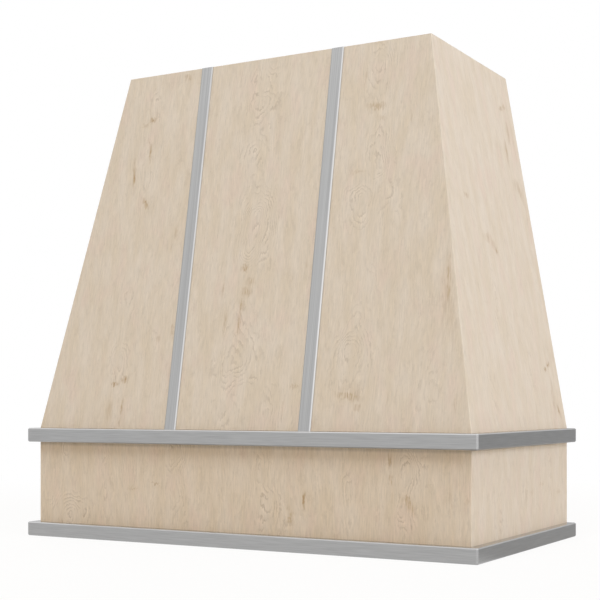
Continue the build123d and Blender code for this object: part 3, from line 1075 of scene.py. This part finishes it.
class HOOD_OT_straps(bpy.types.Operator):
    """Make the two thin straps up the front"""
    bl_idname = "hood.straps"
    bl_label = "Straps"

    def execute(self, context):
        settings = context.scene.hood_cover.metal
        material = metal_material(settings, "metal_brushed_up", (1, 220, 220), settings.strap_vivid)
        for side in ("left", "right"):
            bm = solid_of(f"{side}_strap")
            along = edge_planes(
                bm, settings.strap_radius, STRAP_STEPS,
                lambda a, b: not (is_level(a) or is_level(b)) and max(a.y, b.y) < FACING,
            )
            cut_all(bm, along)
            as_piece(bm, f"strip_{side}", material, f"{side}_strap")
        return {"FINISHED"}


class HOOD_OT_frame(bpy.types.Operator):
    """Make the rails, ledgers, blocks and band cores of the inner frame"""
    bl_idname = "hood.frame"
    bl_label = "Inner frame"

    def execute(self, context):
        settings = context.scene.hood_cover.timber
        crosswise = timber_material(settings, "timber_across", 0)
        backwards = timber_material(settings, "timber_back", 1)
        upright = timber_material(settings, "timber_up", 2)
        for kind in ("foot_rail", "top_rail", "skirt_rail", "ledger"):
            eased_board(f"{kind}_front", f"{kind}_across", crosswise, settings.rounding)
            for side in ("left", "right"):
                eased_board(f"{side}_{kind}", f"{kind}_{side}", backwards, settings.rounding)
        for kind in ("slope_corner_block", "skirt_corner_block"):
            for side in ("left", "right"):
                eased_board(f"{side}_{kind}", f"{kind}_{side}", upright, settings.rounding)
        for node in ("upper_wall_rail", "lower_wall_rail", "ledger_back"):
            recolour(node, crosswise)
        for level in ("upper", "lower"):
            recolour(f"{level}_band_core_front", crosswise)
            for side in ("left", "right"):
                recolour(f"{side}_{level}_band_core", backwards)
        return {"FINISHED"}


class HOOD_OT_shelf(bpy.types.Operator):
    """Finish the shelf that carries the hood insert"""
    bl_idname = "hood.shelf"
    bl_label = "Shelf"

    def execute(self, context):
        settings = context.scene.hood_cover
        low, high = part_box("insert_shelf")
        thickness = (high.z - low.z) / MM
        recolour("insert_shelf", shelf_material(settings.veneer, settings.timber, low.z, thickness))
        return {"FINISHED"}


def loose_parts(bm):
    """The corners of each body in a mesh, body by body."""
    parts, seen = [], set()
    for start in bm.verts:
        if start in seen:
            continue
        part, waiting = [], [start]
        seen.add(start)
        while waiting:
            vertex = waiting.pop()
            part.append(vertex.co.copy())
            for edge in vertex.link_edges:
                other = edge.other_vert(vertex)
                if other not in seen:
                    seen.add(other)
                    waiting.append(other)
        parts.append(part)
    return parts


def screw_places(node):
    """Middle of each head's top, the way that each screw points, and their common length."""
    bm = bmesh.new()
    bm.from_mesh(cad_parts[node].data)
    bmesh.ops.remove_doubles(bm, verts=bm.verts, dist=MERGE)
    places = []
    for part in loose_parts(bm):
        middle = sum(part, Vector()) / len(part)
        reach = max((co - middle).length for co in part)
        end = [co for co in part if (co - middle).length > reach - 2 * MERGE]
        way = (sum(end, Vector()) / len(end) - middle).normalized()
        depths = [(co - middle).dot(way) for co in part]
        places.append((middle + way * min(depths), way, max(depths) - min(depths)))
    bm.free()
    return places


# Rings round the head and in one turn of the thread, the point's radius as a share of the shank's,
# and the cross recess's reach above the head and at its floor as a share of its stated reach.
HEAD_STEPS = 4
RINGS_PER_TURN = 5
TIP_SHARE = 0.25
RECESS_MOUTH = 1.1
RECESS_FLOOR = 0.55


def screw_profile(settings, length):
    """Radius and depth below the top of the head, from the top's middle down to the point."""
    head, height, bend = settings.head_radius, settings.head_height, settings.head_rounding
    profile = []
    for i in range(HEAD_STEPS + 1):
        angle = math.pi / 2 * i / HEAD_STEPS
        profile.append((head - bend + bend * math.sin(angle), bend - bend * math.cos(angle), 0.0))
    profile += [(head, height, 0.0), (settings.shank_radius, height, 0.0)]
    rings = int((length - height) / (settings.pitch / RINGS_PER_TURN))
    for i in range(1, rings + 1):
        depth = height + (length - height) * i / rings
        taper = min(1.0, (length - depth) / settings.tip_length)
        radius = settings.shank_radius * (TIP_SHARE + (1 - TIP_SHARE) * taper)
        profile.append((radius, depth, 1.0))
    return profile


def screw_shape(settings, length):
    """One screw that points up Z, with the middle of its head's top at the origin."""
    bm = bmesh.new()
    rings = []
    for radius, depth, threaded in screw_profile(settings, length):
        ring = []
        for i in range(settings.sides):
            share = i / settings.sides
            groove = abs((depth / settings.pitch - share) % 1.0 - 0.5) * 2
            cut_in = threaded * settings.thread_depth * groove * radius / settings.shank_radius
            angle = 2 * math.pi * share
            r = radius - cut_in
            ring.append(bm.verts.new((r * math.cos(angle), r * math.sin(angle), depth)))
        rings.append(ring)
    for above, below in zip(rings, rings[1:]):
        for i in range(settings.sides):
            j = (i + 1) % settings.sides
            bm.faces.new((above[i], above[j], below[j], below[i]))
    bm.faces.new(rings[0])
    bm.faces.new(rings[-1])
    screw = object_of(bm, "screw")
    carve(screw, cross(settings))
    return screw


def cross(settings):
    """The solid that leaves a cross recess in a screw's head."""
    bm = bmesh.new()
    reach, half, depth = settings.recess_reach, settings.recess_slot / 2, settings.recess_depth
    outline = [(reach, -half), (reach, half), (half, half)]
    for level, share in ((-depth, RECESS_MOUTH), (depth, RECESS_FLOOR)):
        ring = []
        for turn in range(4):
            for x, y in outline:
                x = x * share if x > half else x
                for _ in range(turn):
                    x, y = -y, x
                ring.append(bm.verts.new((x, y, level)))
        bm.faces.new(ring)
    bm.verts.ensure_lookup_table()
    count = len(bm.verts) // 2
    for i in range(count):
        j = (i + 1) % count
        bm.faces.new((bm.verts[i], bm.verts[j], bm.verts[count + j], bm.verts[count + i]))
    return bm


def driving_tree():
    """Nodes that put a screw on every point, along the point's way, and turn it at random."""
    tree = bpy.data.node_groups.new("drive_screws", "GeometryNodeTree")
    sockets = (
        ("Points", "INPUT", "NodeSocketGeometry"),
        ("Screw", "INPUT", "NodeSocketObject"),
        ("Plating", "INPUT", "NodeSocketMaterial"),
        ("Seed", "INPUT", "NodeSocketInt"),
        ("Screws", "OUTPUT", "NodeSocketGeometry"),
    )
    for name, way, kind in sockets:
        tree.interface.new_socket(name, in_out=way, socket_type=kind)
    graph = Graph(tree)
    given = graph.add("NodeGroupInput").outputs
    screw = graph.add("GeometryNodeObjectInfo", {"Object": given["Screw"]}).outputs["Geometry"]
    way = graph.add("GeometryNodeInputNamedAttribute", {"Name": "way"}, data_type="FLOAT_VECTOR")
    way = {"Vector": way.outputs[0]}
    aimed = graph.add("FunctionNodeAlignRotationToVector", way, axis="Z").outputs[0]
    turn = graph.add("FunctionNodeRandomValue", {3: math.tau, "Seed": given["Seed"]}).outputs[1]
    spin = graph.add("FunctionNodeEulerToRotation", {0: graph.point(0, 0, turn)}).outputs[0]
    turned = graph.add(
        "FunctionNodeRotateRotation", {"Rotation": aimed, "Rotate By": spin}, rotation_space="LOCAL"
    ).outputs[0]
    places = {"Points": given["Points"], "Instance": screw, "Rotation": turned}
    placed = graph.add("GeometryNodeInstanceOnPoints", places).outputs[0]
    real = graph.add("GeometryNodeRealizeInstances", {0: placed}).outputs[0]
    coat = {"Geometry": real, "Material": given["Plating"]}
    plated = graph.add("GeometryNodeSetMaterial", coat).outputs[0]
    graph.add("NodeGroupOutput", {"Screws": plated})
    return tree


def drive(node, tree, plating, settings):
    """Puts a screw in each place of a CAD node of screws, as one mesh."""
    places = screw_places(node)
    screw = screw_shape(settings, places[0][2])
    mesh = bpy.data.meshes.new(node)
    mesh.from_pydata([top for top, _, _ in places], [], [])
    ways = mesh.attributes.new("way", "FLOAT_VECTOR", "POINT")
    for entry, (_, way, _) in zip(ways.data, places):
        entry.vector = way
    points = new_object(node, mesh)
    modifier = points.modifiers.new("drive", "NODES")
    modifier.node_group = tree
    values = {"Screw": screw, "Plating": plating, "Seed": settings.seed}
    for item in tree.interface.items_tree:
        if item.name in values:
            modifier[item.identifier] = values[item.name]
    baked = bpy.data.meshes.new_from_object(points.evaluated_get(bpy.context.evaluated_depsgraph_get()))
    for helper in (points, screw):
        bpy.data.objects.remove(helper)
    baked.name = node + "_set"
    baked.polygons.foreach_set("use_smooth", [True] * len(baked.polygons))
    baked.set_sharp_from_angle(angle=SMOOTH_ANGLE)
    dress(new_object(node + "_set", baked), plating, node)


class HOOD_OT_screws(bpy.types.Operator):
    """Make every group of screws"""
    bl_idname = "hood.screws"
    bl_label = "Screws"

    def execute(self, context):
        settings = context.scene.hood_cover.screws
        plating = zinc_material(settings)
        tree = driving_tree()
        for node in sorted(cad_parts):
            if node.endswith("_screws"):
                drive(node, tree, plating, settings)
        return {"FINISHED"}


class HOOD_OT_stage(bpy.types.Operator):
    """Make the floor, the lamps, the even room light and the camera"""
    bl_idname = "hood.stage"
    bl_label = "Floor, lamps and camera"

    def execute(self, context):
        settings = context.scene.hood_cover.stage
        make_floor(settings)
        make_room(settings)
        make_lamps(settings)
        make_camera(settings)
        return {"FINISHED"}


# The room in metal: its level, how much brighter it is higher up and right overhead, its window in
# front on the right, and how much dimmer it is behind the cover.
ROOM_LEVEL = 0.96
RISE_GAIN = 0.5
OVERHEAD_GAIN = 0.4
WINDOW_WAY = (0.71, -0.70, 0.1)
WINDOW_GAIN = 1.0
BEHIND = Vector((0.25, 0.97, 0))
BEHIND_DIM = 0.45

# What metal throws on to the wood: its tint, and how much brighter it is from above.
THROWN_TINT = (1.0, 0.86, 0.70)
THROWN_GAIN = 1.2

# The floor in metres: its half width, its speckle, where it gets dimmer in metal towards the back,
# and from where to where it turns white, with how white it is near the cover.
FLOOR_HALF = 30.0
SPECKLE_SIZE = (0.004, 0.004, 0.004)
DIM_SPAN = (-0.16, 0.04)
WHITE_SPAN = (0.9, 2.2)
WHITE_NEAR = 0.90


def seen_straight(graph):
    """1 for rays that come straight from the camera, also through something, and 0 for others."""
    ray = graph.add("ShaderNodeLightPath").outputs
    return graph.math("MAXIMUM", ray["Is Camera Ray"], ray["Is Transmission Ray"])


def room_in_mirror(graph, way, bounces):
    """How bright the room looks in metal: lit from above and in front on the right, dim behind.

    What metal throws on to the wood, after a matt bounce, is warmer, and brighter from above.
    """
    rise = graph.dot(way, UP)
    bright = graph.linear(graph.math("MAXIMUM", rise, 0.0), RISE_GAIN, ROOM_LEVEL)
    bright = graph.plus(bright, graph.fade(rise, 0.5, 0.9, 0.0, OVERHEAD_GAIN))
    window = graph.fade(graph.dot(way, WINDOW_WAY), 0.60, 0.92, 0.0, WINDOW_GAIN)
    bright = graph.plus(bright, window)
    behind = graph.fade(graph.dot(way, BEHIND), 0.0, 0.9, 0.0, BEHIND_DIM)
    behind = graph.times(behind, graph.fade(rise, 0.1, 0.5, 1.0, 0.0))
    bright = graph.less(bright, behind)
    again = graph.math("MINIMUM", bounces, 1.0)
    bright = graph.plus(bright, graph.times(again, graph.fade(rise, 0.1, 0.7, 0.0, THROWN_GAIN)))
    return graph.scaled(graph.mix(again, (1.0, 1.0, 1.0), THROWN_TINT), bright)


def make_floor(settings):
    """A wide pale floor that keeps the object's shadow and runs into the white room."""
    corners = [(x * FLOOR_HALF, y * FLOOR_HALF, 0) for x, y in ((-1, -1), (1, -1), (1, 1), (-1, 1))]
    mesh = bpy.data.meshes.new("floor")
    mesh.from_pydata(corners, [], [range(len(corners))])
    floor = new_object("floor", mesh)

    material, graph, shader = new_material("floor_paint")
    place = graph.add("ShaderNodeTexCoord").outputs["Object"]
    speckle = graph.noise(place, SPECKLE_SIZE, detail=2)
    shade = graph.linear(speckle, 0.02, 0.99)
    graph.feed(shader.inputs["Base Color"], graph.scaled(tuple(settings.floor), shade))
    shader.inputs["Roughness"].default_value = 0.8
    shader.inputs["Specular IOR Level"].default_value = 0.2
    ray = graph.add("ShaderNodeLightPath").outputs
    unscattered = graph.math("LESS_THAN", ray["Diffuse Depth"], 0.5)
    mirrored = graph.times(ray["Is Glossy Ray"], unscattered)
    behind = graph.fade(graph.dot(place, BEHIND), *DIM_SPAN, 0.0, BEHIND_DIM)
    white = graph.less(1.0, graph.times(mirrored, behind))
    glow = graph.add("ShaderNodeEmission", {"Color": (1.0, 1.0, 1.0), "Strength": white}).outputs[0]
    far = graph.fade(graph.vector("LENGTH", place), *WHITE_SPAN, WHITE_NEAR, 1.0)
    share = graph.times(far, graph.math("MAXIMUM", seen_straight(graph), mirrored))
    blend = graph.add("ShaderNodeMixShader", {0: share, 1: shader.outputs[0], 2: glow}).outputs[0]
    graph.feed(graph.tree.nodes["Material Output"].inputs["Surface"], blend)
    mesh.materials.append(material)


def make_room(settings):
    """Even light all round; white where it is seen, and dimmer behind where metal mirrors it."""
    world = bpy.data.worlds.new("room")
    bpy.context.scene.world = world
    world.use_nodes = True
    world.node_tree.nodes.clear()
    graph = Graph(world.node_tree)
    way = graph.add("ShaderNodeTexCoord").outputs["Generated"]
    even = graph.scaled(tuple(settings.room_tint), settings.sky)
    ray = graph.add("ShaderNodeLightPath").outputs
    strength = graph.mix(ray["Is Glossy Ray"], even, room_in_mirror(graph, way, ray["Diffuse Depth"]))
    strength = graph.mix(seen_straight(graph), strength, (1.0, 1.0, 1.0))
    light = graph.add("ShaderNodeBackground", {"Color": strength, "Strength": 1.0}).outputs[0]
    output = graph.add("ShaderNodeOutputWorld")
    graph.feed(output.inputs["Surface"], light)


SENSOR_WIDTH = 36
LIT_POINT = Vector((0, 0, 0.5))
LAMP_DISTANCE = 8.0
LAMP_SIZE = 4.5
HIGH_WAY = Vector((0.05, -0.28, 0.47)).normalized()
SIDE_WAY = Vector((0.97, -0.10, 0.33)).normalized()
BACK_WAY = Vector((-0.60, 0.70, 0.40)).normalized()


def soft_lamp(name, way, strength, tint):
    """A large square lamp, unseen in the metal. At 1 it lights a facing surface like white light."""
    light = bpy.data.lights.new(name, "AREA")
    light.shape = "SQUARE"
    light.size = LAMP_SIZE
    light.color = tint
    light.energy = strength * (math.pi * LAMP_DISTANCE) ** 2
    lamp = new_object(name, light)
    lamp.visible_glossy = False
    lamp.location = LIT_POINT + way * LAMP_DISTANCE
    lamp.rotation_euler = way.to_track_quat("Z", "Y").to_euler()


def make_lamps(settings):
    """A lamp high in front, a lower one on the right and a weak one behind on the left."""
    soft_lamp("high_lamp", HIGH_WAY, settings.high, settings.high_tint)
    soft_lamp("side_lamp", SIDE_WAY, settings.side, settings.side_tint)
    soft_lamp("back_lamp", BACK_WAY, settings.back, settings.side_tint)


def make_camera(settings):
    """A level camera with its lens raised, as an architect's camera has it."""
    lens = bpy.data.cameras.new("camera")
    lens.sensor_width = SENSOR_WIDTH
    lens.lens = settings.lens
    lens.shift_y = settings.rise
    camera = new_object("camera", lens)
    camera.location = settings.eye
    camera.rotation_euler = (math.pi / 2, 0, settings.turn)
    bpy.context.scene.camera = camera
    bpy.context.scene.view_settings.view_transform = "Standard"


# ---------------------------------------------------------------- add-on

class HOOD_PT_cover(bpy.types.Panel):
    """Lists the steps that dress the hood cover, with their settings"""
    bl_idname = "HOOD_PT_cover"
    bl_label = "Hood cover"
    bl_space_type = "VIEW_3D"
    bl_region_type = "UI"
    bl_category = "Hood cover"

    def draw(self, context):
        """Shows one button for each step and one box for each group of settings"""
        for step in STEPS:
            self.layout.operator(step.bl_idname)
        for group in ("veneer", "timber", "metal", "screws", "stage"):
            settings = getattr(context.scene.hood_cover, group)
            box = self.layout.box()
            for name in settings.bl_rna.properties.keys():
                if name not in ("rna_type", "name"):
                    box.prop(settings, name)


STEPS = (
    HOOD_OT_casing, HOOD_OT_skirt, HOOD_OT_bands, HOOD_OT_straps, HOOD_OT_frame, HOOD_OT_shelf,
    HOOD_OT_screws, HOOD_OT_stage,
)
CLASSES = (
    HoodVeneerSettings, HoodTimberSettings, HoodMetalSettings, HoodScrewSettings, HoodStageSettings,
    HoodCoverSettings, *STEPS, HOOD_PT_cover,
)


def register():
    for cls in CLASSES:
        bpy.utils.register_class(cls)
    bpy.types.Scene.hood_cover = PointerProperty(type=HoodCoverSettings)


def unregister():
    del bpy.types.Scene.hood_cover
    for cls in reversed(CLASSES):
        bpy.utils.unregister_class(cls)


def main():
    register()
    for step in STEPS:
        group, name = step.bl_idname.split(".")
        getattr(getattr(bpy.ops, group), name)()


if __name__ == "__main__":
    main()
